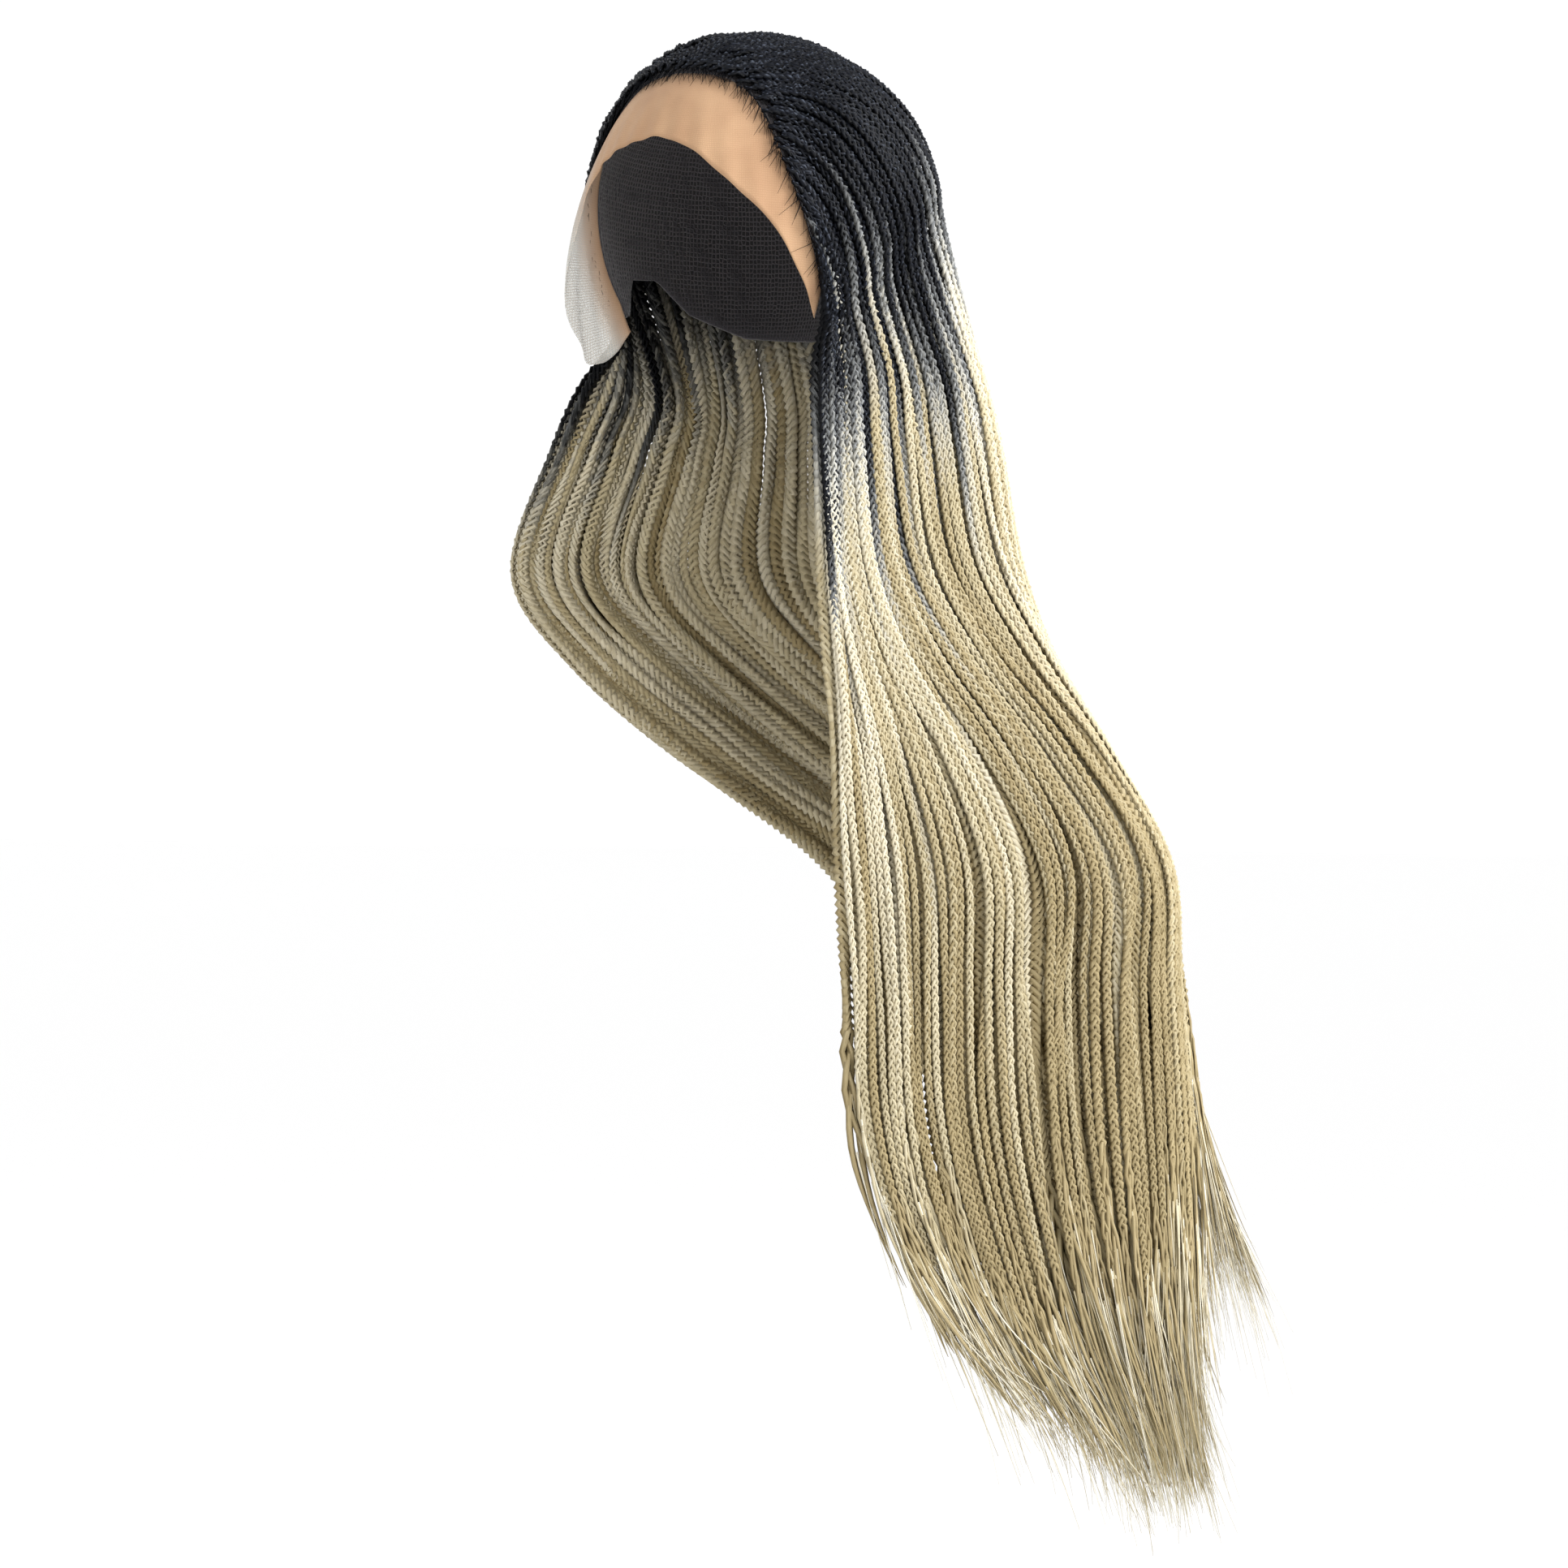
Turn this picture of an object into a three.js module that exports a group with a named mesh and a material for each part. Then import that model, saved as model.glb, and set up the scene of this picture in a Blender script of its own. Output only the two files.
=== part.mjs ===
// Braid wig: an open cap with a lace front, carrying twelve sections of long thin braids.
// The braids leave the hairline, pass back over the cap and hang as one curtain, swept to the wearer's left.
// Millimetres, +Z up. The face looks along -Y and the wearer's left is +X.
// The origin is the crown seat, the highest point inside the cap.
import * as THREE from "three";
import { mergeVertices } from "three/addons/utils/BufferGeometryUtils.js";

// Head that the cap fits
const headWidth = 154;
const headLength = 194;
const crownHeight = 105;

// Cap and lace
const capWall = 1.6;
const laceWall = 1.0;
const pieceGap = 0.35;
const hairOverCap = 2.9;
const hairOverLace = 2.5;
const lacePeel = 25;
const peelCurve = 1.7;

// Braids on the head: the gap over the cap, and how far the outside stands off the head
const hairSeat = 1.5;
const rootLift = 8;
const backLift = 50;

// Braids below the head: reach of the curtain across, back and down, and its depth through the layers
const fallWidth = 250;
const fallDepth = 200;
const hairLength = 880;
const curtainDepth = 18;

// Half the step, along the side, between the two plan points that give the curtain's direction
const planStep = 0.02;

// Side bunch that swings away from the curtain near its tips
const bunchSwing = 39;
const bunchBearing = 33;
const bunchMiddle = 0.22;
const bunchReach = 0.22;
const bunchStart = 0.64;
const bunchEnd = 0.84;
const bunchOvershoot = 1.2;
const bunchCurve = 1.6;

// Locks: each section is fused along its head part, and its locks part below it
const sectionNames = ["right", "back", "left"];
const sectionsPerSide = 4;
const locksPerSection = 3;
const headSteps = 9;
const grooveShare = 0.26;
const underGrooveShare = 0.14;
const slitAtFall = 0.8;
const slitAtTip = 2.4;
const tipWidthShare = 0.42;
const tipDepthShare = 0.4;
const taperBeforeTip = 0.45;
const taperCurve = 3;
const tipMargin = 0.05;
const lockCorners = 6;

// Guide strands from the middle of the forehead (side 0) to the front of the ear (side 1).
// Around is measured from the face, down from the crown, in degrees. Lifts are shares of backLift, and
// arch says how far a strand goes up over the head before it falls, as a share of the head's radius.
const headFlow = [
  {
    rootAround: 0, rootDown: 39,
    fallAround: 180, fallDown: 98, arch: 0, outerLift: 0.8, innerLift: 0.2,
  },
  {
    rootAround: 26, rootDown: 41,
    fallAround: 133, fallDown: 88, arch: 0.2, outerLift: 0.88, innerLift: 0.25,
  },
  {
    rootAround: 47, rootDown: 51,
    fallAround: 102, fallDown: 102, arch: 0.3, outerLift: 0.7, innerLift: 0.18,
  },
  {
    rootAround: 59, rootDown: 76,
    fallAround: 88, fallDown: 115, arch: 0.14, outerLift: 0.37, innerLift: 0.11,
  },
  {
    rootAround: 78, rootDown: 112,
    fallAround: 82, fallDown: 121, arch: 0, outerLift: 0.24, innerLift: 0.08,
  },
];

// Sides crowd towards the ears where the hair leaves the head, and are evenly spread again further down
const earCrowding = 0.2;
const crowdedDrop = 0.3;
const evenDrop = 0.54;

// Level sections of the curtain's outside, from its far end at the right to its near end at the left.
// Drop is a share of hairLength, X of fallWidth, Y of fallDepth and depth of curtainDepth.
const fallRows = [
  {
    drop: 0.216, depth: 0.94,
    farX: -0.40, rearX: -0.37, backX: 0.05, leftX: 0.476, nearX: 0.308,
    farY: -0.10, rearY: 0.49, backY: 0.71, leftY: 0.46, nearY: -0.10,
  },
  {
    drop: 0.261, depth: 1,
    farX: -0.496, rearX: -0.40, backX: 0.056, leftX: 0.52, nearX: 0.316,
    farY: -0.09, rearY: 0.51, backY: 0.73, leftY: 0.46, nearY: -0.115,
  },
  {
    drop: 0.341, depth: 1,
    farX: -0.668, rearX: -0.48, backX: 0.08, leftX: 0.58, nearX: 0.344,
    farY: 0.01, rearY: 0.55, backY: 0.775, leftY: 0.45, nearY: -0.15,
  },
  {
    drop: 0.403, depth: 1,
    farX: -0.616, rearX: -0.384, backX: 0.16, leftX: 0.672, nearX: 0.384,
    farY: 0.23, rearY: 0.69, backY: 0.85, leftY: 0.45, nearY: -0.205,
  },
  {
    drop: 0.466, depth: 1,
    farX: -0.448, rearX: -0.184, backX: 0.30, leftX: 0.792, nearX: 0.436,
    farY: 0.49, rearY: 0.79, backY: 0.93, leftY: 0.49, nearY: -0.27,
  },
  {
    drop: 0.54, depth: 1,
    farX: -0.136, rearX: 0.112, backX: 0.51, leftX: 0.916, nearX: 0.468,
    farY: 0.72, rearY: 0.89, backY: 0.985, leftY: 0.53, nearY: -0.30,
  },
  {
    drop: 0.619, depth: 1,
    farX: 0.056, rearX: 0.28, backX: 0.648, leftX: 0.928, nearX: 0.484,
    farY: 0.78, rearY: 0.94, backY: 0.985, leftY: 0.53, nearY: -0.30,
  },
  {
    drop: 0.699, depth: 1,
    farX: 0.164, rearX: 0.384, backX: 0.716, leftX: 0.944, nearX: 0.50,
    farY: 0.78, rearY: 0.94, backY: 0.965, leftY: 0.53, nearY: -0.30,
  },
  {
    drop: 0.773, depth: 1,
    farX: 0.28, rearX: 0.472, backX: 0.768, leftX: 0.96, nearX: 0.548,
    farY: 0.79, rearY: 0.94, backY: 0.935, leftY: 0.53, nearY: -0.22,
  },
  {
    drop: 0.847, depth: 0.95,
    farX: 0.416, rearX: 0.576, backX: 0.824, leftX: 0.968, nearX: 0.64,
    farY: 0.80, rearY: 0.94, backY: 0.93, leftY: 0.55, nearY: -0.08,
  },
  {
    drop: 0.92, depth: 0.85,
    farX: 0.552, rearX: 0.68, backX: 0.88, leftX: 0.992, nearX: 0.784,
    farY: 0.82, rearY: 0.94, backY: 0.94, leftY: 0.58, nearY: 0.12,
  },
  {
    drop: 1, depth: 0.7,
    farX: 0.68, rearX: 0.784, backX: 0.936, leftX: 1.032, nearX: 0.872,
    farY: 0.85, rearY: 0.95, backY: 0.95, leftY: 0.63, nearY: 0.29,
  },
];

// Where the tips end, by side from the right ear (-1) over the back (0) to the left ear (1)
const tipRows = [
  { side: -1, drop: 0.957 },
  { side: -0.6, drop: 0.986 },
  { side: -0.2, drop: 0.98 },
  { side: 0, drop: 0.909 },
  { side: 0.1, drop: 0.845 },
  { side: 0.34, drop: 0.843 },
  { side: 0.46, drop: 0.92 },
  { side: 0.62, drop: 0.966 },
  { side: 0.85, drop: 0.935 },
  { side: 1, drop: 0.885 },
];

// Hairline, which the cap's front edge and the lace's top edge follow, then the ear and the nape
const capEdge = [
  { around: 0, down: 39.5 },
  { around: 22, down: 41 },
  { around: 36, down: 44.5 },
  { around: 46, down: 50.5 },
  { around: 53, down: 61 },
  { around: 57.5, down: 75 },
  { around: 64, down: 89 },
  { around: 70, down: 102 },
  { around: 76, down: 113 },
  { around: 80, down: 117 },
  { around: 86, down: 115 },
  { around: 92, down: 102 },
  { around: 106, down: 101 },
  { around: 120, down: 112 },
  { around: 145, down: 120 },
  { around: 180, down: 122 },
];

// Lower edge of the lace from the right temple to the left one. Peel is a share of lacePeel:
// the untrimmed lace at the right temple stands off the cheek.
const laceEdge = [
  { around: -80, down: 122, peel: 0 },
  { around: -74, down: 127, peel: 0.35 },
  { around: -68, down: 128, peel: 0.9 },
  { around: -62, down: 125, peel: 1 },
  { around: -55, down: 113, peel: 0.9 },
  { around: -49, down: 88, peel: 0.25 },
  { around: -40, down: 74, peel: 0 },
  { around: -18, down: 68, peel: 0 },
  { around: 5, down: 65, peel: 0 },
  { around: 22, down: 70, peel: 0 },
  { around: 38, down: 81, peel: 0 },
  { around: 55, down: 93, peel: 0 },
  { around: 67, down: 107, peel: 0 },
  { around: 80, down: 122, peel: 0 },
];

// Meridians of the cap, close together over the front edge that the lace meets
const frontSpan = 80;
const frontColumns = 40;
const rearColumns = 20;
const crownRows = 3;
const panelRows = 5;
const laceRows = 5;

// The cap is sewn from a crown, which ends at crownDown, and three panels below it, each with its span round
const crownDown = 44;
const capPanels = [
  { name: "cap_left", from: 46, to: 120 },
  { name: "cap_back", from: 120, to: 240 },
  { name: "cap_right", from: 240, to: 314 },
];

const radians = THREE.MathUtils.degToRad;
const clamp = THREE.MathUtils.clamp;
const fullTurn = 360;
const seamAngle = THREE.MathUtils.radToDeg(pieceGap / (headWidth / 2));

function mix(from, to, share) {
  return from + (to - from) * share;
}

function ease(share) {
  return share * share * (3 - 2 * share);
}

function spline(values, position) {
  const last = values.length - 1;
  const at = clamp(position, 0, last);
  const start = Math.min(Math.floor(at), last - 1);
  const share = at - start;
  const before = start > 0 ? values[start - 1] : 2 * values[0] - values[1];
  const after = start + 2 <= last ? values[start + 2] : 2 * values[last] - values[last - 1];
  const [from, to] = [values[start], values[start + 1]];
  const slope = to - before;
  const square = 2 * before - 5 * from + 4 * to - after;
  const cube = 3 * from - before - 3 * to + after;
  return from + 0.5 * share * (slope + share * (square + share * cube));
}

function column(table, name, position) {
  return spline(table.map((row) => row[name]), position);
}

function readTable(table, key, value, name) {
  const next = clamp(table.findIndex((row) => row[key] >= value), 1, table.length - 1);
  const [low, high] = [table[next - 1], table[next]];
  return mix(low[name], high[name], clamp((value - low[key]) / (high[key] - low[key]), 0, 1));
}

function bearing(around, down) {
  const [turn, tilt] = [radians(around), radians(down)];
  return new THREE.Vector3(
    Math.sin(turn) * Math.sin(tilt),
    -Math.cos(turn) * Math.sin(tilt),
    Math.cos(tilt),
  );
}

// A point at the given lift above the head's surface
function onHead(direction, lift) {
  return new THREE.Vector3(
    (headWidth / 2 + lift) * direction.x,
    (headLength / 2 + lift) * direction.y,
    (crownHeight + lift) * direction.z - crownHeight,
  );
}

// A strand on the head, from its root (share 0) to where it leaves the head (share 1)
function headPoint(side, share, outside) {
  const row = Math.abs(side) * (headFlow.length - 1);
  const sign = side < 0 ? -1 : 1;
  const read = (name) => column(headFlow, name, row);
  const root = bearing(sign * read("rootAround"), read("rootDown"));
  const fall = bearing(sign * read("fallAround"), read("fallDown"));
  const angle = root.angleTo(fall);
  const direction = root.multiplyScalar(Math.sin((1 - share) * angle) / Math.sin(angle))
    .addScaledVector(fall, Math.sin(share * angle) / Math.sin(angle));
  direction.z += read("arch") * Math.sin(Math.PI * share);
  direction.normalize();
  if (outside) {
    return onHead(direction, mix(rootLift, read("outerLift") * backLift, ease(share)));
  }
  const seat = capWall + hairSeat;
  return onHead(direction, mix(seat, read("innerLift") * backLift, share * share));
}

// The curtain's outside in plan, before the side bunch swings out
function fallPlan(side, row) {
  const crowding = earCrowding * ease(clamp((evenDrop - row.drop) / (evenDrop - crowdedDrop), 0, 1));
  const place = (side + crowding * Math.sin(Math.PI * side) + 1) * 2;
  const across = ["farX", "rearX", "backX", "leftX", "nearX"].map((name) => row[name] * fallWidth);
  const back = ["farY", "rearY", "backY", "leftY", "nearY"].map((name) => row[name] * fallDepth);
  return new THREE.Vector2(spline(across, place), spline(back, place));
}

function swingAt(side, row) {
  const offMiddle = clamp((side - bunchMiddle) / bunchReach, -1, 1);
  const inBunch = 0.5 + 0.5 * Math.cos(Math.PI * offMiddle);
  const along = clamp((row.drop - bunchStart) / (bunchEnd - bunchStart), 0, bunchOvershoot);
  return bunchSwing * inBunch * along ** bunchCurve;
}

function fallPoint(side, row, outside) {
  const point = fallPlan(side, row);
  if (!outside) {
    const ahead = fallPlan(Math.min(side + planStep, 1), row);
    const along = ahead.sub(fallPlan(Math.max(side - planStep, -1), row)).normalize();
    point.x += along.y * row.depth * curtainDepth;
    point.y -= along.x * row.depth * curtainDepth;
  }
  const swing = swingAt(side, row);
  point.x += swing * Math.cos(radians(bunchBearing));
  point.y += swing * Math.sin(radians(bunchBearing));
  return new THREE.Vector3(point.x, point.y, -row.drop * hairLength);
}

// Coordinates of one strand at its stations, on the outside or the inside of the hair, root first
const strandCache = new Map();
function strand(side, outside) {
  const key = `${side.toFixed(6)} ${outside}`;
  if (!strandCache.has(key)) {
    const points = [];
    for (let step = 0; step <= headSteps; step += 1) {
      points.push(headPoint(side, step / headSteps, outside));
    }
    fallRows.forEach((row) => points.push(fallPoint(side, row, outside)));
    strandCache.set(key, {
      x: points.map((point) => point.x),
      y: points.map((point) => point.y),
      z: points.map((point) => point.z),
    });
  }
  return strandCache.get(key);
}

function strandPoint(side, station, outside) {
  const line = strand(side, outside);
  return new THREE.Vector3(
    spline(line.x, station),
    spline(line.y, station),
    spline(line.z, station),
  );
}

// A point in the hair: depth 0 is the inside, depth 1 the outside
function hairPoint(side, station, depth) {
  return strandPoint(side, station, false).lerp(strandPoint(side, station, true), depth);
}

function tipStation(side) {
  const drop = readTable(tipRows, "side", side, "drop");
  const next = fallRows.findIndex((row) => row.drop >= drop);
  const [low, high] = [fallRows[next - 1].drop, fallRows[next].drop];
  return headSteps + next + (drop - low) / (high - low);
}

// Collects triangles and closes them into one mesh
class Skin {
  constructor() {
    this.corners = [];
  }

  triangle(a, b, c) {
    this.corners.push(a, b, c);
  }

  quad(a, b, c, d) {
    this.triangle(a, b, c);
    this.triangle(a, c, d);
  }

  // A thin wall whose point(place, row, lift) gives its two faces, closed round its four edges
  wall(point, columns, rows, thickness) {
    for (let row = 0; row < rows; row += 1) {
      const below = row + 1;
      for (let place = 0; place < columns; place += 1) {
        const next = place + 1;
        this.quad(
          point(place, row, thickness),
          point(place, below, thickness),
          point(next, below, thickness),
          point(next, row, thickness),
        );
        this.quad(point(next, row, 0), point(next, below, 0), point(place, below, 0), point(place, row, 0));
      }
      this.quad(point(0, row, 0), point(0, below, 0), point(0, below, thickness), point(0, row, thickness));
      this.quad(
        point(columns, row, thickness),
        point(columns, below, thickness),
        point(columns, below, 0),
        point(columns, row, 0),
      );
    }
    for (let place = 0; place < columns; place += 1) {
      const next = place + 1;
      this.quad(point(place, 0, thickness), point(next, 0, thickness), point(next, 0, 0), point(place, 0, 0));
      this.quad(
        point(place, rows, 0),
        point(next, rows, 0),
        point(next, rows, thickness),
        point(place, rows, thickness),
      );
    }
  }

  mesh(name, look) {
    const loose = new THREE.BufferGeometry().setFromPoints(this.corners);
    const geometry = mergeVertices(loose, 1e-3);
    geometry.computeVertexNormals();
    const mesh = new THREE.Mesh(geometry, look);
    mesh.name = name;
    return mesh;
  }
}

// Six corners round one lock at a station: left, middle and right outside, then right, middle and left inside
function lockRing(lock, station, share, gapLeft, gapRight) {
  const depthShare = mix(1, tipDepthShare, share);
  const widthShare = mix(1, tipWidthShare, share);
  const onHeadPart = station <= headSteps;
  const under = onHeadPart ? 0 : underGrooveShare;
  const level = (depth) => 0.5 + (depth - 0.5) * depthShare;
  const middle = (lock.from + lock.to) / 2;
  const corner = (side, depth, gap) => {
    const centre = hairPoint(middle, station, level(depth));
    const edge = hairPoint(side, station, level(depth));
    const half = edge.distanceTo(centre);
    return centre.lerp(edge, (widthShare * (half - gap)) / half);
  };
  return [
    corner(lock.from, 1 - grooveShare, gapLeft),
    hairPoint(middle, station, level(1)),
    corner(lock.to, 1 - grooveShare, gapRight),
    corner(lock.to, under, gapRight),
    hairPoint(middle, station, level(0)),
    corner(lock.from, under, gapLeft),
  ];
}

// Stations of one lock, with its taper towards the tip
function lockStations(lock) {
  const tip = tipStation((lock.from + lock.to) / 2);
  const stations = [];
  for (let station = 0; station < tip - tipMargin; station += 1) {
    const along = Math.max(station - headSteps, 0) / (tip - headSteps);
    stations.push({ station, share: taperBeforeTip * along ** taperCurve });
  }
  stations.push({ station: tip, share: 1 });
  return stations;
}

function slit(station, tip) {
  return mix(slitAtFall, slitAtTip, clamp((station - headSteps) / (tip - headSteps), 0, 1)) / 2;
}

// One section of braids: locks side by side, fused on the head and free below it
function braidSection(name, index, look) {
  const skin = new Skin();
  const sections = sectionNames.length * sectionsPerSide;
  const lockSpan = 2 / (sections * locksPerSection);
  for (let place = 0; place < locksPerSection; place += 1) {
    const from = -1 + (index * locksPerSection + place) * lockSpan;
    const lock = { from, to: from + lockSpan };
    const stations = lockStations(lock);
    const tip = stations[stations.length - 1].station;
    const rings = stations.map(({ station, share }) => {
      const free = station > headSteps;
      const gapLeft = free ? slit(station, tip) : (place === 0 ? pieceGap / 2 : 0);
      const gapRight = free ? slit(station, tip) : (place === locksPerSection - 1 ? pieceGap / 2 : 0);
      return lockRing(lock, station, share, gapLeft, gapRight);
    });
    for (let row = 1; row < rings.length; row += 1) {
      const [upper, lower] = [rings[row - 1], rings[row]];
      const free = stations[row].station > headSteps;
      for (let edge = 0; edge < lockCorners; edge += 1) {
        const next = (edge + 1) % lockCorners;
        const fusedRight = edge === 2 && !free && place < locksPerSection - 1;
        const fusedLeft = edge === 5 && !free && place > 0;
        if (fusedRight || fusedLeft) {
          continue;
        }
        if (edge === 5) {
          skin.quad(upper[next], lower[next], lower[edge], upper[edge]);
        } else {
          skin.quad(upper[edge], upper[next], lower[next], lower[edge]);
        }
      }
    }
    const root = rings[0];
    skin.quad(root[5], root[4], root[1], root[0]);
    skin.quad(root[4], root[3], root[2], root[1]);
    const end = rings[rings.length - 1];
    skin.quad(end[0], end[1], end[4], end[5]);
    skin.quad(end[1], end[2], end[3], end[4]);
  }
  return skin.mesh(name, look);
}

// The hairline at an azimuth, moved back under the hair by some degrees
function hairline(around, underHair) {
  return readTable(capEdge, "around", around - underHair, "down") - underHair;
}

function frontAround(place) {
  return mix(-frontSpan, frontSpan, place / frontColumns);
}

// Degrees round of a cap meridian, counted from the right end of the front
function capAround(turn) {
  const columns = frontColumns + rearColumns;
  const place = turn % columns;
  const around = place <= frontColumns
    ? frontAround(place)
    : mix(frontSpan, fullTurn - frontSpan, (place - frontColumns) / rearColumns);
  return around + fullTurn * Math.floor(turn / columns);
}

// The cap's lower edge: the hairline in front, then the ear and the nape
function capEdgeDown(around) {
  const half = fullTurn / 2;
  const side = Math.abs(THREE.MathUtils.euclideanModulo(around + half, fullTurn) - half);
  return side <= frontSpan ? hairline(side, hairOverCap) : readTable(capEdge, "around", side, "down");
}

// The crown of the cap: a dome that ends at the hairline in front and at the seam of the panels elsewhere
function capCrown(look) {
  const skin = new Skin();
  const point = (turn, row, lift) => {
    const around = capAround(turn);
    const rim = Math.min(capEdgeDown(around), crownDown);
    return onHead(bearing(around, (rim * row) / crownRows), lift);
  };
  for (let turn = 0; turn < frontColumns + rearColumns; turn += 1) {
    const next = turn + 1;
    skin.triangle(point(0, 0, capWall), point(turn, 1, capWall), point(next, 1, capWall));
    skin.triangle(point(0, 0, 0), point(next, 1, 0), point(turn, 1, 0));
    for (let row = 1; row < crownRows; row += 1) {
      const below = row + 1;
      skin.quad(
        point(turn, row, capWall),
        point(turn, below, capWall),
        point(next, below, capWall),
        point(next, row, capWall),
      );
      skin.quad(point(next, row, 0), point(next, below, 0), point(turn, below, 0), point(turn, row, 0));
    }
    skin.quad(
      point(turn, crownRows, capWall),
      point(turn, crownRows, 0),
      point(next, crownRows, 0),
      point(next, crownRows, capWall),
    );
  }
  return skin.mesh("cap_crown", look);
}

// One panel of the cap, from the crown's seam down to the cap's edge
function capPanel({ name, from, to }, look) {
  const skin = new Skin();
  const meridians = [from + seamAngle / 2];
  for (let turn = 0; capAround(turn) < to; turn += 1) {
    if (capAround(turn) > from) {
      meridians.push(capAround(turn));
    }
  }
  meridians.push(to - seamAngle / 2);
  const point = (place, row, lift) => {
    const around = meridians[place];
    const down = mix(crownDown + seamAngle, capEdgeDown(around), row / panelRows);
    return onHead(bearing(around, down), lift);
  };
  skin.wall(point, meridians.length - 1, panelRows, capWall);
  return skin.mesh(name, look);
}

// The lace front: a thin wall from the cap's front edge down the forehead and temples
function laceFront(look) {
  const skin = new Skin();
  const point = (place, row, lift) => {
    const around = frontAround(place);
    const top = hairline(Math.abs(around), hairOverLace);
    const bottom = readTable(laceEdge, "around", around, "down");
    const share = row / laceRows;
    const peel = readTable(laceEdge, "around", around, "peel") * lacePeel * share ** peelCurve;
    return onHead(bearing(around, mix(top, bottom, share)), lift + peel);
  };
  skin.wall(point, frontColumns, laceRows, laceWall);
  return skin.mesh("front_lace", look);
}

const netLook = new THREE.MeshStandardMaterial({ color: "#1c1b1e", roughness: 0.85, metalness: 0 });
const laceLook = new THREE.MeshStandardMaterial({ color: "#c8a582", roughness: 0.8, metalness: 0 });
const braidLook = new THREE.MeshStandardMaterial({ color: "#cdbb90", roughness: 0.5, metalness: 0 });

const wig = new THREE.Group();
wig.add(capCrown(netLook), laceFront(laceLook));
capPanels.forEach((panel) => wig.add(capPanel(panel, netLook)));
sectionNames.forEach((side, group) => {
  for (let place = 0; place < sectionsPerSide; place += 1) {
    const index = group * sectionsPerSide + place;
    wig.add(braidSection(`${side}_braids_${place + 1}`, index, braidLook));
  }
});

export default wig;
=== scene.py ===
# Braid wig: the looks of the worn wig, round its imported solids.
# The three-strand plaits, lace and cap net are modelled here. Sizes are in millimetres until a mesh is made.
# +Z is up, the face looks along -Y and the wearer's left is +X. The origin is the crown seat.
import math

import bpy
import numpy as np
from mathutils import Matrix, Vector


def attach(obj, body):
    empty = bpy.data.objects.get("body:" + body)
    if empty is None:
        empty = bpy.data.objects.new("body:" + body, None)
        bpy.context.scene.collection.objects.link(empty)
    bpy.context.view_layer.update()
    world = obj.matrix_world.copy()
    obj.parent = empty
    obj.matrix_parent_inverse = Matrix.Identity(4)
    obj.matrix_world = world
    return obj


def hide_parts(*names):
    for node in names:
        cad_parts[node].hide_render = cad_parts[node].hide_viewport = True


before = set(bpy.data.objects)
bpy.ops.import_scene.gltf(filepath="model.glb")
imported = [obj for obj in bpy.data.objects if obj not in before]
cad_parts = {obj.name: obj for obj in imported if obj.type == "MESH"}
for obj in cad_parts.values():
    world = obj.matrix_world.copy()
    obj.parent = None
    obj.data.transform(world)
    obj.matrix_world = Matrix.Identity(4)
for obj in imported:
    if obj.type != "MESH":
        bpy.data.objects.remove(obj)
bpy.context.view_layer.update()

METRE = 0.001
FULL_TURN = 2 * math.pi
random = np.random.default_rng(36)

# Head that the cap fits, the walls on it, and how the hair and the loose lace stand off it
HEAD_WIDTH = 154
HEAD_LENGTH = 194
CROWN_HEIGHT = 105
CAP_WALL = 1.6
LACE_WALL = 0.6
HAIR_OVER_CAP = 2.9
HAIR_OVER_LACE = 2.5
LACE_PEEL = 25
PEEL_CURVE = 1.7
HAIR_SEAT = 1.5
ROOT_LIFT = 8
BACK_LIFT = 50

# Hair below the head, and the bunch that swings out at the back of the wearer's left shoulder
FALL_WIDTH = 250
FALL_DEPTH = 200
HAIR_LENGTH = 880
CURTAIN_DEPTH = 18
PLAN_STEP = 0.02
BUNCH_SWING = 39
BUNCH_BEARING = 33
BUNCH_MIDDLE = 0.22
BUNCH_REACH = 0.22
BUNCH_START = 0.64
BUNCH_END = 0.84
BUNCH_OVERSHOOT = 1.2
BUNCH_CURVE = 1.6

# Sections of the solids, three locks each
SECTION_SIDES = ("right", "back", "left")
SECTIONS_PER_SIDE = 4
LOCKS_PER_SECTION = 3
LOCK_SPAN = 2 / (len(SECTION_SIDES) * SECTIONS_PER_SIDE * LOCKS_PER_SECTION)
HEAD_STEPS = 9

# Guide strands from the middle of the forehead to the front of the ear: degrees round and down from
# the crown at the root and where the hair leaves the head, how far it arches up over the head, and
# lifts of the outside and inside as shares of BACK_LIFT
HEAD_FLOW = np.array([
    (0, 39, 180, 98, 0, 0.8, 0.2),
    (26, 41, 133, 88, 0.2, 0.88, 0.25),
    (47, 51, 102, 102, 0.3, 0.7, 0.18),
    (59, 76, 88, 115, 0.14, 0.37, 0.11),
    (78, 112, 82, 121, 0, 0.24, 0.08),
])

# Sides crowd towards the ears where the hair leaves the head, and are evenly spread again further down
EAR_CROWDING = 0.2
CROWDED_DROP = 0.3
EVEN_DROP = 0.54

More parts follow.
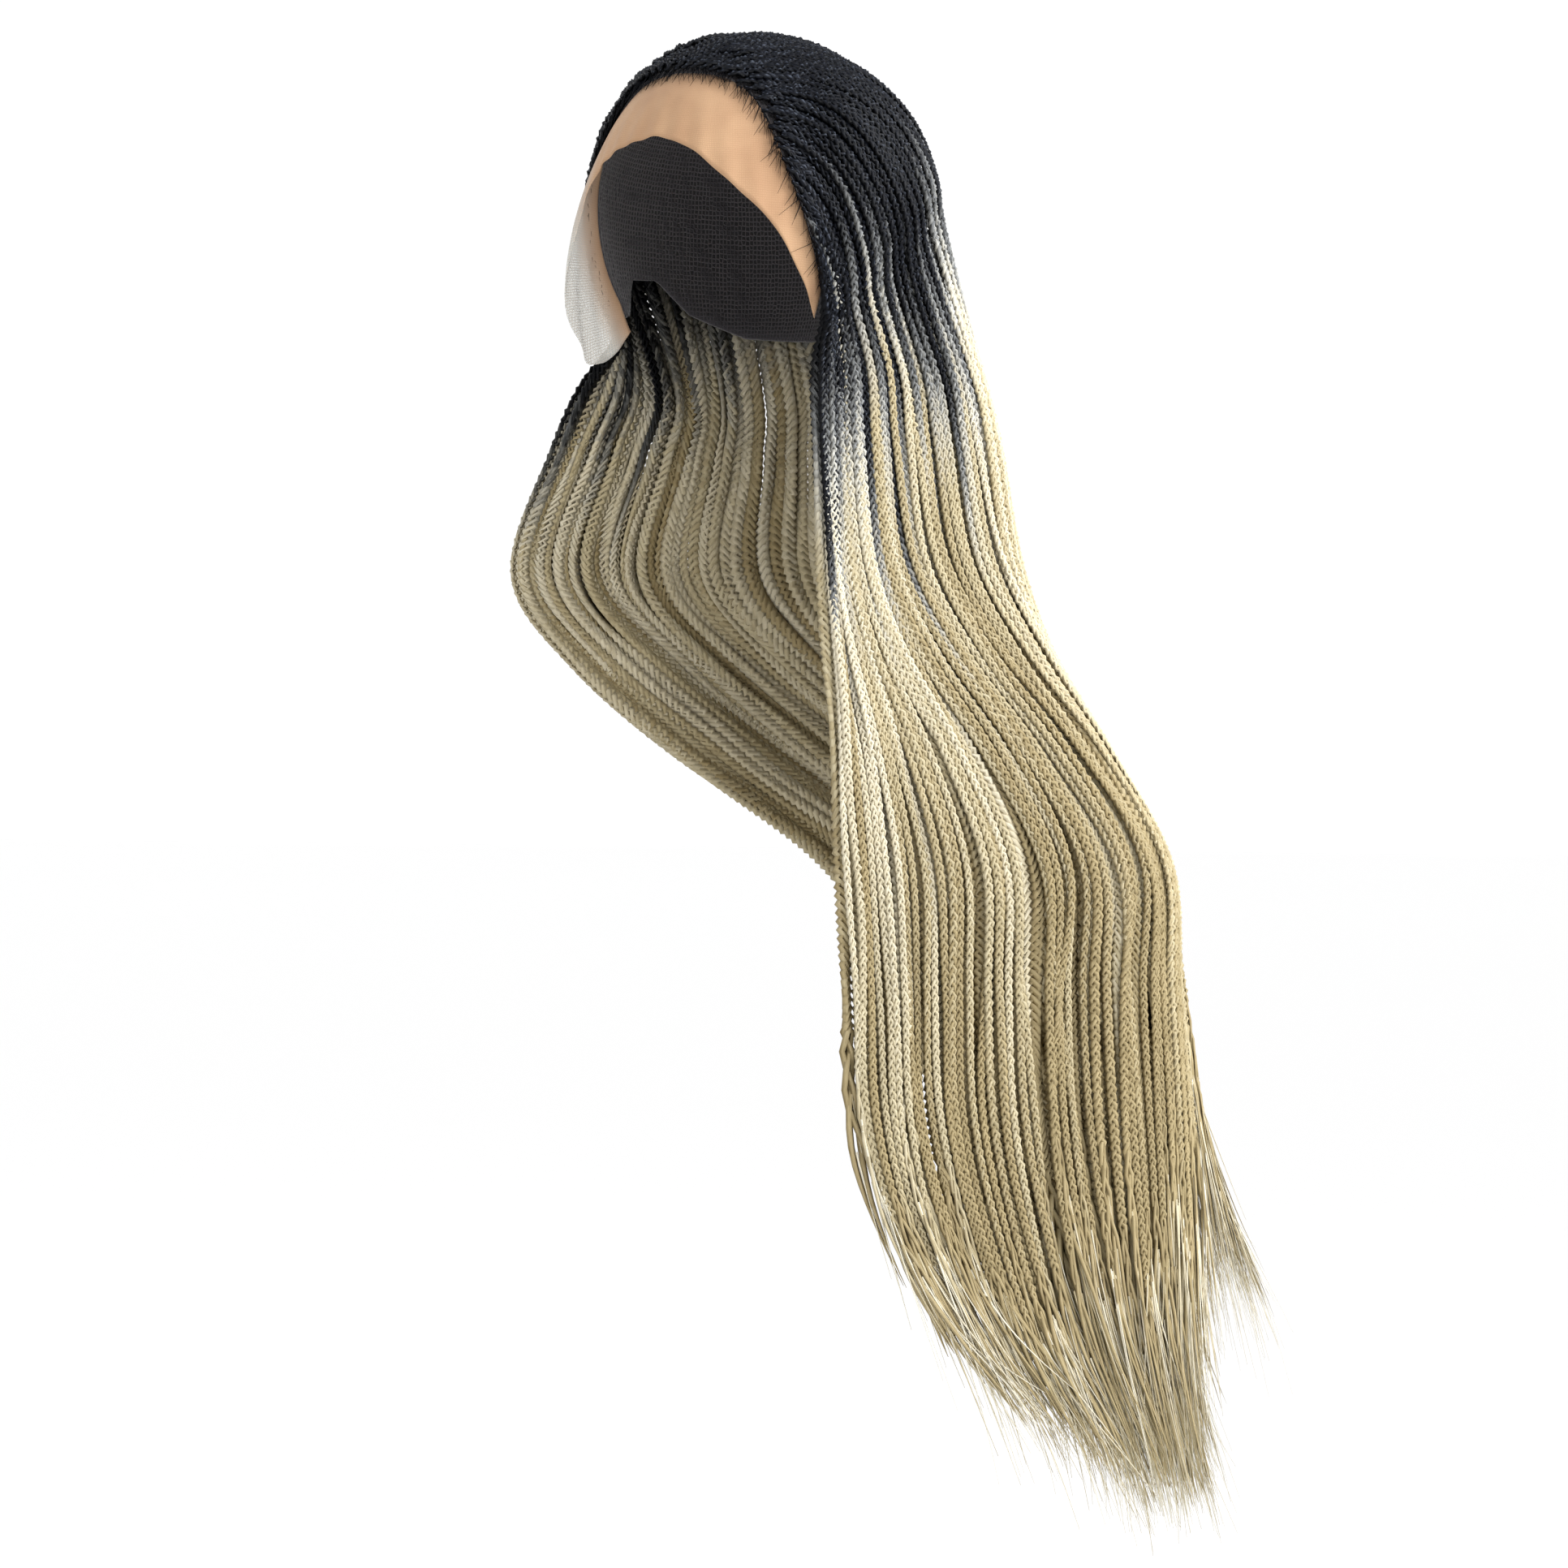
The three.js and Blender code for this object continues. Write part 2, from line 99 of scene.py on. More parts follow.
# Level sections of the hair below the head: drop, then X and Y of the far, rear, back, left and near
# guides as shares of FALL_WIDTH and FALL_DEPTH, then depth as a share of CURTAIN_DEPTH
FALL_ROWS = np.array([
    (0.216, -0.40, -0.10, -0.37, 0.49, 0.05, 0.71, 0.476, 0.46, 0.308, -0.10, 0.94),
    (0.261, -0.496, -0.09, -0.40, 0.51, 0.056, 0.73, 0.52, 0.46, 0.316, -0.115, 1),
    (0.341, -0.668, 0.01, -0.48, 0.55, 0.08, 0.775, 0.58, 0.45, 0.344, -0.15, 1),
    (0.403, -0.616, 0.23, -0.384, 0.69, 0.16, 0.85, 0.672, 0.45, 0.384, -0.205, 1),
    (0.466, -0.448, 0.49, -0.184, 0.79, 0.30, 0.93, 0.792, 0.49, 0.436, -0.27, 1),
    (0.54, -0.136, 0.72, 0.112, 0.89, 0.51, 0.985, 0.916, 0.53, 0.468, -0.30, 1),
    (0.619, 0.056, 0.78, 0.28, 0.94, 0.648, 0.985, 0.928, 0.53, 0.484, -0.30, 1),
    (0.699, 0.164, 0.78, 0.384, 0.94, 0.716, 0.965, 0.944, 0.53, 0.50, -0.30, 1),
    (0.773, 0.28, 0.79, 0.472, 0.94, 0.768, 0.935, 0.96, 0.53, 0.548, -0.22, 1),
    (0.847, 0.416, 0.80, 0.576, 0.94, 0.824, 0.93, 0.968, 0.55, 0.64, -0.08, 0.95),
    (0.92, 0.552, 0.82, 0.68, 0.94, 0.88, 0.94, 0.992, 0.58, 0.784, 0.12, 0.85),
    (1, 0.68, 0.85, 0.784, 0.95, 0.936, 0.95, 1.032, 0.63, 0.872, 0.29, 0.7),
])

# Where the tips end: side from the right ear (-1) over the back (0) to the left ear (1), then drop
TIP_ROWS = np.array([
    (-1, 0.957), (-0.6, 0.986), (-0.2, 0.98), (0, 0.909), (0.1, 0.845),
    (0.34, 0.843), (0.46, 0.92), (0.62, 0.966), (0.85, 0.935), (1, 0.885),
])

# Hairline, ear and nape edge of the cap: degrees round and down
CAP_EDGE = np.array([
    (0, 39.5), (22, 41), (36, 44.5), (46, 50.5), (53, 61), (57.5, 75), (64, 89), (70, 102),
    (76, 113), (80, 117), (86, 115), (92, 102), (106, 101), (120, 112), (145, 120), (180, 122),
])

# Cut edge of the lace: degrees round and down, then how far it peels off as a share of LACE_PEEL
LACE_EDGE = np.array([
    (-80, 122, 0), (-74, 127, 0.35), (-68, 128, 0.9), (-62, 125, 1), (-55, 113, 0.9),
    (-49, 88, 0.25), (-40, 74, 0), (-18, 68, 0), (5, 65, 0), (22, 70, 0), (38, 81, 0),
    (55, 93, 0), (67, 107, 0), (80, 122, 0),
])
FRONT_SPAN = 80
CAP_NODES = ("cap_crown", "cap_left", "cap_back", "cap_right")

# One plait: three strands that cross every third of a cycle, drawn a little wider than it is deep
PLAIT_CYCLE = 15
PLAIT_WIDTH = 6.9
STRAND_SWING = 1.85
STRAND_RISE = 1.05
STRAND_WIDE = 1.6
STRAND_THICK = 1.2
EDGE_DROP = 0.7
PLAIT_HALF_DEPTH = 2.2
ROLL = 18
SIZE_SPREAD = (0.88, 1.1)
THINNING = 0.1

# Root of a plait: where its knot lies, how far the knot spreads and stands up, on a plait that starts at
# the hairline or behind it, and over what length the plait grows to its full size from shares of it
KNOT_PLACES = (4, 8)
KNOT_SPREAD = 5
KNOT_LIFTS = (0.5, 3)
LATE_KNOT_LIFTS = (0.2, 1.2)
KNOT_WIDER = 0.14
KNOT_THICKER = 0.22
GROWING_LENGTH = 14
ROOT_SWING = 0.4
ROOT_STRAND = 0.65

# Chance that an outer plait changes places with another of its section, how many places off that one is
# at most, how far down the stations they begin to cross, and over how many, as shares of all
CROSSING_CHANCE = 0.8
CROSSING_REACH = 5
CROSSING_STARTS = (0.35, 0.72)
CROSSING_LENGTH = 0.24

# Plaits of one lock, by where the lock lies from the right ear (-1) over the back (0) to the left ear (1):
# how far behind the hairline each outer one starts, in stations, and how many lie behind the gaps between
PLAIT_BANDS = (
    {"from": -1, "outer": (0, 0.1), "under": 3},
    {"from": -0.5, "outer": (0.5, 0, 0.6), "under": 3},
    {"from": -0.33, "outer": (1.1, 0, 1.4, 0.3), "under": 3},
    {"from": 0.33, "outer": (0.6, 0, 0.9), "under": 3},
    {"from": 0.67, "outer": (0.1, 7, 0, 8), "under": 3},
    {"from": 0.85, "outer": (0.1, 7, 0, 8, 7.5), "under": 3},
)

# Plaits of each layer: rings a cycle, sides and size of a strand, how much later its black ends and how
# much sooner its tip, wisps at its end, and how far it may grow or shrink for the room that it has, by
# how much it overlaps the next one, and how far it strays
OUTER_LOOK = {
    "rings": 5, "sides": 3, "size": 1, "later": 0, "shorter": (0, 45), "wisps": 9,
    "fits": (0.95, 1.25), "overlap": 1.12, "stray": 1.4,
}
UNDER_LOOK = {
    "rings": 3.1, "sides": 3, "size": 1.05, "later": 15, "shorter": (15, 110), "wisps": 3,
    "fits": (1.35, 2), "overlap": 1.5, "stray": 0.5,
}

# Course of a plait: from what share of it it strays freely and over how much that grows, how deep the
# plaits of each layer lie, where the under ones start, and how one that starts late rises to its place
COURSE_SAMPLES = 400
FREE_FROM = 0.12
FREE_OVER = 0.4
OUTER_SEAT = 2.2
OUTER_RAGGED = 2.6
UNDER_DEPTHS = (0.35, 0.7)
UNDER_STARTS = (0.6, 2.6)
LATE_START = 2
RISING_STATIONS = 3

# Loose brushed-out end of a plait, and the wisps of fibre that fan out from it
LOOSE_LENGTHS = (95, 190)
LOOSE_SAMPLES = 15
LOOSE_TAPER = 2
LOOSE_TIP = 0.06
LOOSE_SPREAD = 4.2
LOOSE_TWIST = 0.12
WISP_STEPS = 8
WISP_SIDES = 3
WISP_REACH = 52
WISP_SPREAD = 8
WISP_HALF = 0.8
WISP_FLATNESS = 0.6
LOWEST_TIP = -886

# Length of the black root along a plait from the right ear over the back to the left ear, how it varies from
# plait to plait and strand to strand, its fade, and how much painted shade darkens the blonde towards the tip
BLACK_SIDES = (-1, -0.75, -0.5, -0.25, 0, 0.25, 0.5, 0.75, 1)
BLACK_LENGTHS = (60, 110, 165, 215, 228, 216, 190, 155, 110)
BLACK_SPREADS = (20, 25, 22, 16, 16, 18, 36, 62, 50)
FADE_LENGTH = 84
STRAND_FADE_SPREAD = 8
PAINTED_SHADE_BELOW = 0.9

# Short fine hairs that lie forward from the roots over the lace's top edge
FUZZ_PER_LOCK = 9
FUZZ_STEPS = 4
FUZZ_BEHIND = 1.5
FUZZ_DOWN = (1.5, 6)
FUZZ_AROUND = 3.5
FUZZ_ROOT_LIFTS = (3.5, 6.5)
FUZZ_TIP_LIFTS = (1.6, 3)
FUZZ_HALF = 0.28

# Values that the hair's material reads from each point; lift and crest carry its painted highlights and
# painted shade, and tone also carries painted shade towards the tips
HAIR_VALUES = ("ombre", "tone", "lift", "brushed", "crest")

# Texture scales round and along a strand
FIBRE_SCALE = (9.0, 130.0, 1.0)
HAIR_SCALE = (26.0, 240.0, 1.0)


def mix(low, high, share):
    return low + (high - low) * share


def ease(share):
    """A smooth step from 0 to 1."""
    share = np.clip(share, 0, 1)
    return share * share * (3 - 2 * share)


def spline(values, at):
    """Catmull-Rom through evenly spaced rows of values, with reflected ends."""
    last = len(values) - 1
    padded = np.concatenate([[2 * values[0] - values[1]], values, [2 * values[-1] - values[-2]]])
    at = np.clip(at, 0, last)
    start = np.minimum(np.floor(at).astype(int), last - 1)
    share = (at - start).reshape(np.shape(at) + (1,) * (values.ndim - 1))
    before, low, high, after = (padded[start + k] for k in range(4))
    return curve(before, low, high, after, share)


def curve(before, low, high, after, share):
    """Catmull-Rom between low and high."""
    slope = high - before
    square = 2 * before - 5 * low + 4 * high - after
    cube = 3 * low - before - 3 * high + after
    return low + 0.5 * share * (slope + share * (square + share * cube))


def unit(vectors):
    return vectors / np.maximum(np.linalg.norm(vectors, axis=-1, keepdims=True), 1e-9)


def bearing(around, down):
    """Direction from the head's middle, for degrees round from the face and down from the crown."""
    turn, tilt = np.radians(around), np.radians(down)
    return np.stack([np.sin(turn) * np.sin(tilt), -np.cos(turn) * np.sin(tilt), np.cos(tilt)], axis=-1)


def on_head(direction, lift):
    """A point at the given lift above the head's surface."""
    lift = np.asarray(lift, float)
    return np.stack([
        (HEAD_WIDTH / 2 + lift) * direction[..., 0],
        (HEAD_LENGTH / 2 + lift) * direction[..., 1],
        (CROWN_HEIGHT + lift) * direction[..., 2] - CROWN_HEIGHT,
    ], axis=-1)


def head_points(sides, share):
    """Outside and inside of the hair on the head, for an array of sides."""
    rows = spline(HEAD_FLOW, np.abs(sides) * (len(HEAD_FLOW) - 1))
    root_around, root_down, fall_around, fall_down, arch, outer, inner = rows.T
    sign = np.where(sides < 0, -1, 1)
    root = bearing(sign * root_around, root_down)
    fall = bearing(sign * fall_around, fall_down)
    angle = np.arccos(np.clip((root * fall).sum(1), -1, 1))[:, None]
    direction = (root * np.sin((1 - share) * angle) + fall * np.sin(share * angle)) / np.sin(angle)
    direction[:, 2] += arch * math.sin(math.pi * share)
    direction = unit(direction)
    outside = mix(ROOT_LIFT, outer * BACK_LIFT, ease(share))
    inside = mix(CAP_WALL + HAIR_SEAT, inner * BACK_LIFT, share * share)
    return on_head(direction, outside), on_head(direction, inside)


def fall_plan(sides, row):
    """The hair's outside seen from above at one level, for an array of sides."""
    guides = np.stack([row[1:11:2] * FALL_WIDTH, row[2:11:2] * FALL_DEPTH], axis=1)
    crowding = EAR_CROWDING * ease((EVEN_DROP - row[0]) / (EVEN_DROP - CROWDED_DROP))
    return spline(guides, (sides + crowding * np.sin(math.pi * sides) + 1) * 2)


def fall_points(sides, row):
    """Outside and inside of the hair at one level below the head, for an array of sides."""
    drop, depth = row[0], row[11]
    outside = fall_plan(sides, row)
    ahead, behind = np.minimum(sides + PLAN_STEP, 1), np.maximum(sides - PLAN_STEP, -1)
    along = unit(fall_plan(ahead, row) - fall_plan(behind, row))
    inward = np.stack([along[:, 1], -along[:, 0]], axis=1)
    inside = outside + inward * depth * CURTAIN_DEPTH
    in_bunch = 0.5 + 0.5 * np.cos(math.pi * np.clip((sides - BUNCH_MIDDLE) / BUNCH_REACH, -1, 1))
    reach = np.clip((drop - BUNCH_START) / (BUNCH_END - BUNCH_START), 0, BUNCH_OVERSHOOT)
    swing = BUNCH_SWING * in_bunch * reach ** BUNCH_CURVE
    turn = math.radians(BUNCH_BEARING)
    push = swing[:, None] * np.array([math.cos(turn), math.sin(turn)])
    level = np.full((len(sides), 1), -drop * HAIR_LENGTH)
    return np.hstack([outside + push, level]), np.hstack([inside + push, level])


# Grids of the hair's outside and inside, by station from root to tip and by side
SIDES = np.linspace(-1, 1, 289)
levels = [head_points(SIDES, step / HEAD_STEPS) for step in range(HEAD_STEPS + 1)]
levels += [fall_points(SIDES, row) for row in FALL_ROWS]
OUTSIDE = np.array([level[0] for level in levels])
INSIDE = np.array([level[1] for level in levels])


def hair_surface(grid, sides, stations):
    """Points on one of the grids, for arrays of sides and of stations from root to tip."""
    place = np.clip((sides + 1) / 2 * (len(SIDES) - 1), 0, len(SIDES) - 1.001)
    left = np.floor(place).astype(int)
    share = (place - left)[:, None]
    last = len(grid) - 1
    at = np.clip(stations, 0, last)
    start = np.minimum(np.floor(at).astype(int), last - 1)

    def row(index):
        return mix(grid[index, left], grid[index, left + 1], share)

    def beyond(index, edge, within):
        off_grid = ((index < 0) | (index > last))[:, None]
        return np.where(off_grid, 2 * row(edge) - row(within), row(np.clip(index, 0, last)))

    before = beyond(start - 1, np.zeros_like(start), np.ones_like(start))
    after = beyond(start + 2, np.full_like(start, last), np.full_like(start, last - 1))
    return curve(before, row(start), row(start + 1), after, (at - start)[:, None])


def tip_station(side):
    """The station at which the hair of one side ends."""
    drop = np.interp(side, TIP_ROWS[:, 0], TIP_ROWS[:, 1])
    drops = FALL_ROWS[:, 0]
    following = int(np.searchsorted(drops, drop))
    low, high = drops[following - 1], drops[following]
    return HEAD_STEPS + following + (drop - low) / (high - low)


class Skin:
    """Collects faces and their per-point values, then makes one mesh."""

    def __init__(self):
        self.points, self.values = [], []
        self.faces, self.uv = [], []
        self.count = 0

    def add_points(self, points, values):
        first = self.count
        self.points.append(points)
        self.values.append(values)
        self.count += len(points)
        return first

    def add_faces(self, faces, uv):
        self.faces.append(faces)
        self.uv.append(uv.reshape(-1, 2))

    def make(self, name, value_names, material):
        points = np.concatenate(self.points) * METRE
        corners = np.concatenate([faces.ravel() for faces in self.faces])
        sizes = np.concatenate([np.full(len(faces), faces.shape[1]) for faces in self.faces])
        starts = np.concatenate([[0], np.cumsum(sizes)[:-1]])
        mesh = bpy.data.meshes.new(name)
        mesh.vertices.add(len(points))
        mesh.vertices.foreach_set("co", points.astype(np.float32).ravel())
        mesh.loops.add(len(corners))
        mesh.loops.foreach_set("vertex_index", corners.astype(np.int32))
        mesh.polygons.add(len(sizes))
        mesh.polygons.foreach_set("loop_start", starts.astype(np.int32))
        mesh.update(calc_edges=True)
        mesh.polygons.foreach_set("use_smooth", np.ones(len(sizes), dtype=bool))
        layer = mesh.uv_layers.new(name="UVMap")
        layer.uv.foreach_set("vector", np.concatenate(self.uv).astype(np.float32).ravel())
        values = np.concatenate(self.values)
        for column, value_name in enumerate(value_names):
            attribute = mesh.attributes.new(value_name, "FLOAT", "POINT")
            attribute.data.foreach_set("value", values[:, column].astype(np.float32))
        mesh.materials.append(material)
        piece = bpy.data.objects.new(name, mesh)
        bpy.context.scene.collection.objects.link(piece)
        return piece


def tube(skin, centres, across, out, half_wide, half_thick, sides, along, values):
    """A closed tube through centres, with its section's half sizes along two directions."""
    rings = len(centres)
    angles = FULL_TURN / 4 + np.arange(sides) * FULL_TURN / sides
    points = (
        centres[:, None]
        + across[:, None] * (half_wide[:, None] * np.cos(angles))[..., None]
        + out[:, None] * (half_thick[:, None] * np.sin(angles))[..., None]
    ).reshape(-1, 3)
    # The crest share, 1 at a strand's top and underside and 0 at its sides, is what the hair's material
    # paints light and shade from
    crest = np.tile(np.abs(np.sin(angles)), rings)[:, None]
    first = skin.add_points(points, np.hstack([np.repeat(values, sides, axis=0), crest]))
    ring, edge = np.meshgrid(np.arange(rings - 1), np.arange(sides), indexing="ij")
    ring, edge = ring.ravel(), edge.ravel()
    following = (edge + 1) % sides
    skin.add_faces(first + np.stack([
        ring * sides + edge, (ring + 1) * sides + edge,
        (ring + 1) * sides + following, ring * sides + following,
    ], axis=-1), np.stack([
        np.stack([edge / sides, along[ring]], -1), np.stack([edge / sides, along[ring + 1]], -1),
        np.stack([(edge + 1) / sides, along[ring + 1]], -1), np.stack([(edge + 1) / sides, along[ring]], -1),
    ], axis=1))
    corner = np.arange(sides)
    for ends, level in ((corner, along[0]), (rings * sides - 1 - corner, along[-1])):
        flat = np.stack([corner / sides, np.full(sides, level)], -1)
        skin.add_faces(first + ends[None], flat)


def wander(samples, waves):
    """A smooth seeded wander round 0 along so many samples."""
    at = np.linspace(0, 1, samples)
    total = np.zeros(samples)
    for wave in waves:
        turns = wave * random.uniform(0.8, 1.2) * at + random.random()
        total += random.uniform(0.4, 1) * np.sin(FULL_TURN * turns)
    return total / len(waves)


def resample(values, lengths, at):
    return np.stack([np.interp(at, lengths, values[:, axis]) for axis in range(values.shape[1])], axis=1)


def path_length(points):
    """Length so far at each of a row of points."""
    return np.concatenate([[0], np.cumsum(np.linalg.norm(np.diff(points, axis=0), axis=1))])


def crossings(count):
    """Order in which a row of plaits ends, and how far along each one begins to cross over."""
    order = np.arange(count)
    begins = random.uniform(*CROSSING_STARTS, count)
    place = 0
    while place < count - 1:
        if random.random() < CROSSING_CHANCE:
            other = min(place + int(random.integers(1, CROSSING_REACH + 1)), count - 1)
            order[[place, other]] = order[[other, place]]
            begins[other] = begins[place]
            place = other
        place += 1
    return order, begins


def course(look, side, ends_at, begins, start, plaits_beside):
    """Where one plait runs: its points, outward direction, fit and length so far, and how far behind
    the hairline it starts."""
    samples = COURSE_SAMPLES
    stations = np.linspace(start, tip_station(ends_at), samples)
    moved = mix(side, ends_at, ease((stations / stations[-1] - begins) / CROSSING_LENGTH))
    free = ease((np.linspace(0, 1, samples) - FREE_FROM) / FREE_OVER)
    half = LOCK_SPAN / 2
    within = np.clip(moved, half - 1, 1 - half)
    beside = hair_surface(OUTSIDE, within + half, stations) - hair_surface(OUTSIDE, within - half, stations)
    width = np.linalg.norm(beside, axis=1)
    strays = look["stray"] * free * wander(samples, (1.5, 3, 5)) * 2
    sides = np.clip(moved + LOCK_SPAN * strays / width, -0.999, 0.999)
    outside = hair_surface(OUTSIDE, sides, stations)
    inside = hair_surface(INSIDE, sides, stations)
    thick = np.linalg.norm(outside - inside, axis=1)
    offset = thick * (random.uniform(*UNDER_DEPTHS) + 0.1 * free * wander(samples, (2, 4)))
    if look is OUTER_LOOK:
        near = OUTER_SEAT + OUTER_RAGGED * (random.random() + free * wander(samples, (2, 4)))
        risen = ease((stations - start) / RISING_STATIONS) if start > LATE_START else 1
        offset = mix(offset, near, risen)
    low = np.minimum(PLAIT_HALF_DEPTH, thick / 2)
    offset = np.clip(offset, low, thick - low)
    points = mix(outside, inside, (offset / thick)[:, None])
    fit = np.clip(look["overlap"] * width / (plaits_beside * PLAIT_WIDTH), *look["fits"])
    before = hair_surface(OUTSIDE, np.full(samples, side), np.linspace(0, start, samples))
    return points, unit(outside - inside), fit, path_length(points), path_length(before)[-1]


def plait(skin, look, side, ends_at, begins, start, plaits_beside):
    """One three-strand plait from its root knot to its loose brushed-out end."""
    way = course(look, side, ends_at, begins, start, plaits_beside)
    points, outward, fit, lengths, behind = way
    whole = lengths[-1]
    end = whole - random.uniform(*look["shorter"])
    loose_length = random.uniform(*LOOSE_LENGTHS)
    plaited = end - loose_length
    step = PLAIT_CYCLE / look["rings"]
    at = np.concatenate([np.arange(0, plaited - step / 2, step), np.linspace(plaited, end, LOOSE_SAMPLES)])
    centre = resample(points, lengths, at)
    fit = np.interp(at, lengths, fit)
    tangent = unit(np.gradient(centre, at, axis=0))
    normal = resample(outward, lengths, at)
    normal = unit(normal - tangent * (normal * tangent).sum(1, keepdims=True))
    wide_way = np.cross(tangent, normal)
    roll = (np.radians(ROLL) * 1.5 * wander(len(at), (1, 2.3, 6)) + random.normal(0, 0.1))[:, None]
    normal, wide_way = (
        normal * np.cos(roll) + wide_way * np.sin(roll),
        wide_way * np.cos(roll) - normal * np.sin(roll),
    )
    knot = np.exp(-(((at - random.uniform(*KNOT_PLACES)) / KNOT_SPREAD) ** 2))
    knot_lift = random.uniform(*(KNOT_LIFTS if start == 0 else LATE_KNOT_LIFTS))
    centre = centre + normal * (knot * knot_lift)[:, None]
    grown = ease(at / GROWING_LENGTH)
    in_end = np.clip((at - plaited) / loose_length, 0, 1)
    opened = ease(in_end * 1.6)
    size = look["size"] * random.uniform(*SIZE_SPREAD) * fit * (1 - THINNING * at / whole)
    swing = STRAND_SWING * size * mix(ROOT_SWING, 1, grown) * (1 + 0.4 * opened)
    rise = STRAND_RISE * size * mix(ROOT_SWING, 1, grown) * (1 - 0.5 * opened)
    taper = 1 - (1 - LOOSE_TIP) * in_end ** LOOSE_TAPER
    root = mix(ROOT_STRAND, 1, grown)
    wide = STRAND_WIDE * size * (root + KNOT_WIDER * knot) * (1 + 0.3 * opened) * taper
    thick = STRAND_THICK * size * (root + KNOT_THICKER * knot) * (1 - 0.4 * opened) * taper
    untwisting = np.minimum(at, plaited) + loose_length * LOOSE_TWIST * (1 - np.exp(-in_end * 3))
    phase = FULL_TURN * (untwisting / PLAIT_CYCLE + random.random())
    black = np.interp(side, BLACK_SIDES, BLACK_LENGTHS) + look["later"]
    black += random.normal(0, np.interp(side, BLACK_SIDES, BLACK_SPREADS))
    tone = random.random()
    edge_drop = EDGE_DROP * (1 - opened)
    for strand in range(3):
        angle = phase + strand * FULL_TURN / 3
        stray_across = random.normal(0, LOOSE_SPREAD) * in_end ** 1.5
        stray_out = random.normal(0, LOOSE_SPREAD * 0.7) * in_end ** 1.5
        line = (
            centre
            + wide_way * (swing * np.sin(angle) + stray_across)[:, None]
            + normal * (rise * (np.sin(2 * angle) - edge_drop * np.sin(angle) ** 2) + stray_out)[:, None]
        )
        way = unit(np.gradient(line, at, axis=0))
        face = unit(normal - way * (normal * way).sum(1, keepdims=True))
        fade_from = black + random.normal(0, STRAND_FADE_SPREAD)
        ombre = (at + behind - fade_from) / FADE_LENGTH + 0.5
        # Painted shade: the blonde darkens towards the tip, taken off the strand's random tone
        shade_below = PAINTED_SHADE_BELOW * (at / whole) ** 2
        tone_with_shade_below = np.clip(tone * 0.75 + random.random() * 0.25 - shade_below, 0, 1)
        # Lift, high where a strand rides over the others and low where it passes under or turns at the
        # plait's edges, is what the hair's material paints light and shade from
        lift = 0.5 + (0.5 * np.sin(2 * angle) - 0.3 * np.sin(angle) ** 2) * (1 - opened)
        values = np.stack([ombre, tone_with_shade_below, lift, in_end], axis=1)
        tube(skin, line, np.cross(way, face), face, wide, thick, look["sides"], at * METRE, values)
    line, across, out = (rows[-LOOSE_SAMPLES:] for rows in (centre, wide_way, normal))
    wisps(skin, line, across, out, tone, look["wisps"])


def wisps(skin, line, across, normal, tone, count):
    """Thin loose locks of fibre that fan out round the end of a plait and past it."""
    share = np.linspace(0, 1, WISP_STEPS)
    way = unit(line[-1] - line[-4])
    straight_down = np.array([0, 0, -1])
    most = np.clip(line[-1, 2] - LOWEST_TIP, 0, WISP_REACH)
    for _ in range(count):
        place = mix(random.uniform(2, 8), len(line) - 1 - random.uniform(0, 4), share)
        base, wide, out = (resample(rows, np.arange(len(line)), place) for rows in (line, across, normal))
        bend = random.normal(0, WISP_SPREAD) * share ** 1.5 + random.normal(0, 1.6)
        lean = random.normal(0, WISP_SPREAD * 0.6) * share ** 1.5
        longer = random.uniform(0, most) * share ** 2
        past = unit(mix(way, straight_down, random.random()))
        points = base + past * longer[:, None] + wide * bend[:, None] + out * lean[:, None]
        at = path_length(points)
        half = WISP_HALF * random.uniform(0.6, 1.3) * (1 - 0.85 * share)
        own_tone = np.clip(tone + random.normal(0.1, 0.2), 0, 1)
        values = np.tile([2.0, own_tone, 0.8, 1.0], (WISP_STEPS, 1))
        values[:, 3] = mix(0.4, 1, share)
        tube(skin, points, wide, out, half, half * WISP_FLATNESS, WISP_SIDES, at * METRE, values)


def fuzz(skin, lock_from):
    """Short fine hairs of one lock that lie forward over the lace's top edge."""
    share = np.linspace(0, 1, FUZZ_STEPS)
    for _ in range(FUZZ_PER_LOCK):
        side = np.clip(lock_from + LOCK_SPAN * random.random(), -1, 1)
        sign = -1 if side < 0 else 1
        row = spline(HEAD_FLOW, np.array([abs(side) * (len(HEAD_FLOW) - 1)]))[0]
        around = sign * row[0] + random.normal(0, FUZZ_AROUND) * share
        down = row[1] - FUZZ_BEHIND + (FUZZ_BEHIND + random.uniform(*FUZZ_DOWN)) * share
        lift = mix(random.uniform(*FUZZ_ROOT_LIFTS), random.uniform(*FUZZ_TIP_LIFTS), share)
        points = on_head(bearing(around, down), lift)
        way = unit(np.gradient(points, axis=0))
        face = unit(points - np.array([0, 0, -CROWN_HEIGHT]))
        half = FUZZ_HALF * (1 - 0.7 * share)
        values = np.tile([-1.0, 0.5, 0.5, 0.0], (FUZZ_STEPS, 1))
        tube(skin, points, np.cross(way, face), face, half, half, WISP_SIDES, share * 0.01, values)


